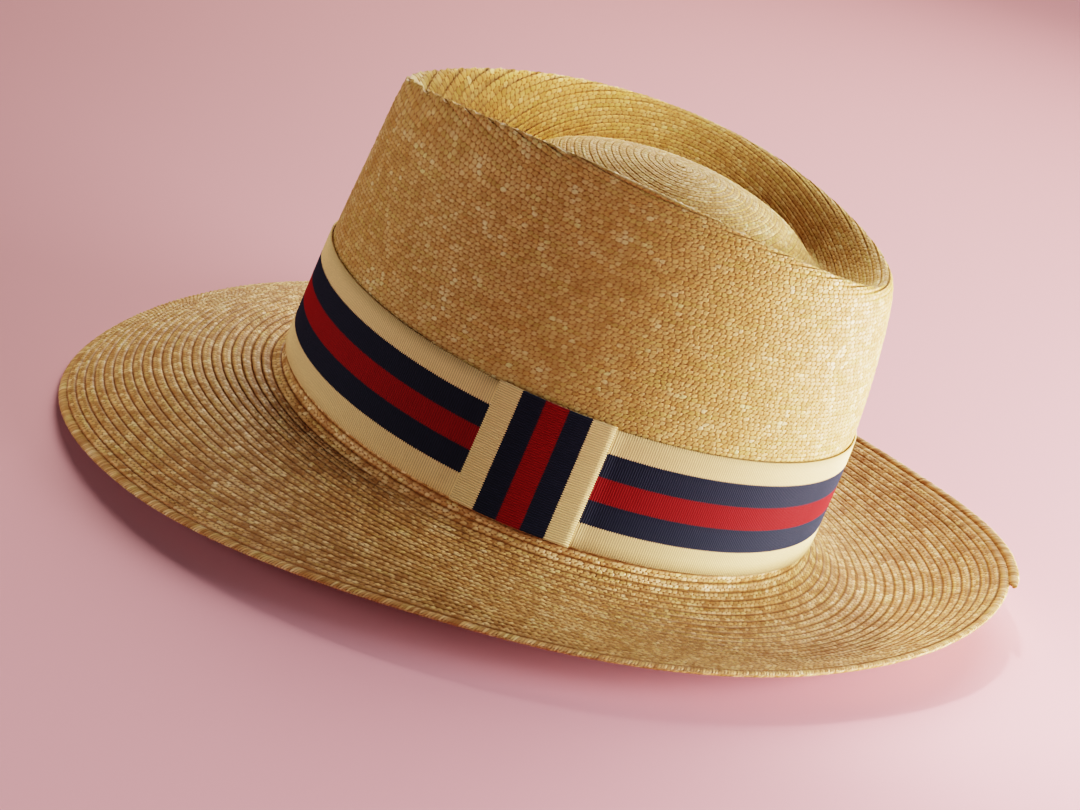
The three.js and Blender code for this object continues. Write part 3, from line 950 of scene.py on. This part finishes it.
ribbon = ribbon_finish("striped_grosgrain")
for piece in (striped_band, striped_keeper):
    piece.data.materials.append(ribbon)
print("ribbon:", len(ribbon.node_tree.nodes), "nodes")

# %% [markdown]
# ## Joining the pieces to the frame
# Every piece rides on the hat's one body, and the solid that it dresses is hidden. The ribbon and
# its keeper are cloth, and the lengths that they were cut to are printed.

# %% Hide the solids that the pieces dress, and join the pieces to the body
for plait in crown_plaits:
    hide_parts("crown")
for plait in brim_plaits:
    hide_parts("brim")
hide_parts("edge_braid")
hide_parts("ribbon_band")
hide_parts("ribbon_keeper")
for piece in (*crown_plaits, *brim_plaits, edge_rope):
    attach(piece, "root")
for piece in (striped_band, striped_keeper):
    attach(piece, "root")
print("ribbon: band cut to", round(BAND_ROUND, 4), "and keeper to", round(KEEPER_LENGTH, 4))

# %% [markdown]
# ## Floor, light and camera
# The hat lies on a pale floor with painted shade: darker in front and paler behind. One light
# overhead would flatten the rows, so most light comes from low behind the hat's back, to the right
# of the picture, as from a window: a broad light, and a strip just above the floor. A high light on
# the far side and a weak one in front fill the shadows, and two narrow ones pick out the hollow of
# the crown and the brim at the back. Further out the floor glows, and the world is dim as a light
# and pale to the camera, so that the surroundings are plain and pale from every side.

# %% Floor
FLOOR_SIZE = 8
FLOOR_PAINTED_SHADE = ((0.0, (0.42, 0.190, 0.205)), (1.0, (0.96, 0.455, 0.510)))  # painted shade, darker in front and paler behind
FLOOR_SLANT = 0.55  # how far the painted shade turns towards the hat's left
FLOOR_FADE = (-0.6, 0.3)
SURROUND = (0.85, 0.420, 0.470)
# axis, where the glow starts and where it is full
GLOW = {
    "behind": (1, 0.46, 0.64),
    "in_front": (1, -0.60, -1.00),
    "right": (0, -0.95, -1.40),
    "left": (0, 0.80, 1.30),
}


def floor_finish(name):
    finish, tree, shader = new_finish(name)
    place = node(tree, "SeparateXYZ", {0: node(tree, "TexCoord").outputs["Object"]}).outputs
    slanted = plus(tree, place[1], times(tree, place[0], FLOOR_SLANT))
    painted_floor_shade = ramp(tree, ease(tree, slanted, *FLOOR_FADE), FLOOR_PAINTED_SHADE)
    tree.links.new(painted_floor_shade, shader.inputs["Base Color"])
    shader.inputs["Roughness"].default_value = 0.8
    glow = 0.0
    for axis, start, full in GLOW.values():
        glow = sums(tree, "MAXIMUM", ease(tree, place[axis], start, full), glow)
    tree.links.new(glow, shader.inputs["Emission Strength"])
    shader.inputs["Emission Color"].default_value = (*SURROUND, 1)
    return finish


bpy.ops.mesh.primitive_plane_add(size=FLOOR_SIZE)
floor = bpy.context.object
floor.name = "floor"
floor.data.materials.append(floor_finish("pale_floor"))
print("floor:", FLOOR_SIZE, "metres wide")

# %% Lights
LIGHTS = {
    # place, aimed at, width and height, spread in degrees, watts, colour
    "window": ((0.10, 0.60, 0.135), (0, 0, 0.08), (0.35, 0.35), 180, 6.6, (1.0, 1.0, 1.0)),
    "low_window": ((-0.12, 0.62, 0.036), (0, 0, 0.085), (0.50, 0.06), 180, 8.0, (1.0, 1.0, 1.0)),
    "sky": ((-0.78, 0.05, 0.70), (0, 0, 0.06), (0.8, 0.8), 180, 12.8, (1.0, 0.94, 0.86)),
    "room": ((0.50, -0.90, 0.15), (0, 0, 0.08), (0.6, 0.6), 180, 5.8, (1.0, 0.99, 0.97)),
    "top": ((-0.05, 0.0, 0.75), (-0.045, -0.03, 0.112), (0.06, 0.06), 12, 0.036, (1.0, 0.84, 0.60)),
    "back_top": ((-0.25, -0.10, 0.75), (0.03, 0.13, 0.02), (0.06, 0.06), 14, 0.026, (1.0, 0.93, 0.86)),
}
DIM_AIR = (0.020, 0.018, 0.0172)
for name, (place, aim, size, spread, watts, colour) in LIGHTS.items():
    bpy.ops.object.light_add(type="AREA", location=place)
    light = bpy.context.object
    light.name = name
    light.rotation_euler = (Vector(place) - Vector(aim)).to_track_quat("Z", "Y").to_euler()
    light.data.shape = "RECTANGLE"
    light.data.size, light.data.size_y = size
    light.data.spread = math.radians(spread)
    light.data.energy = watts
    light.data.color = colour
world = bpy.data.worlds.new("soft_room")
bpy.context.scene.world = world
world.use_nodes = True
seen = node(world.node_tree, "LightPath").outputs["Is Camera Ray"]
air = blend(world.node_tree, seen, DIM_AIR, SURROUND)
world.node_tree.links.new(air, world.node_tree.nodes["Background"].inputs["Color"])
bpy.context.scene.view_settings.view_transform = "Filmic"
bpy.context.scene.view_settings.look = "High Contrast"
print("lights:", ", ".join(LIGHTS))

# %% [markdown]
# The camera has the photograph's angle to the hat: it looks at the wearer's left side from a little
# above, rolled so that the brim's front lies low on the left. A track constraint could aim it, but
# not with that roll, so its three axes are worked out here.

# %% Camera
CAMERA_AZIMUTH = math.radians(94.276)  # 0 looks along +Y, and 90 along -X
CAMERA_ELEVATION = math.radians(21.649)
CAMERA_ROLL = math.radians(15.155)
CAMERA_DISTANCE = 1.0583
CAMERA_AIM = Vector((-0.0024, -0.0059, 0.0314))
CAMERA_LENS = 102.74  # millimetres, as is the sensor's width
CAMERA_SENSOR = 36
back = Vector((
    math.sin(CAMERA_AZIMUTH) * math.cos(CAMERA_ELEVATION),
    -math.cos(CAMERA_AZIMUTH) * math.cos(CAMERA_ELEVATION),
    math.sin(CAMERA_ELEVATION),
))
level = Vector((math.cos(CAMERA_AZIMUTH), math.sin(CAMERA_AZIMUTH), 0))
upright = back.cross(level)
right = level * math.cos(CAMERA_ROLL) + upright * math.sin(CAMERA_ROLL)
turned = Matrix((right, back.cross(right), back)).transposed()
bpy.ops.object.camera_add(location=CAMERA_AIM + back * CAMERA_DISTANCE, rotation=turned.to_euler())
camera = bpy.context.object
camera.data.sensor_width = CAMERA_SENSOR
camera.data.sensor_fit = "HORIZONTAL"
camera.data.lens = CAMERA_LENS
bpy.context.scene.camera = camera
print("camera:", [round(x, 3) for x in camera.location])
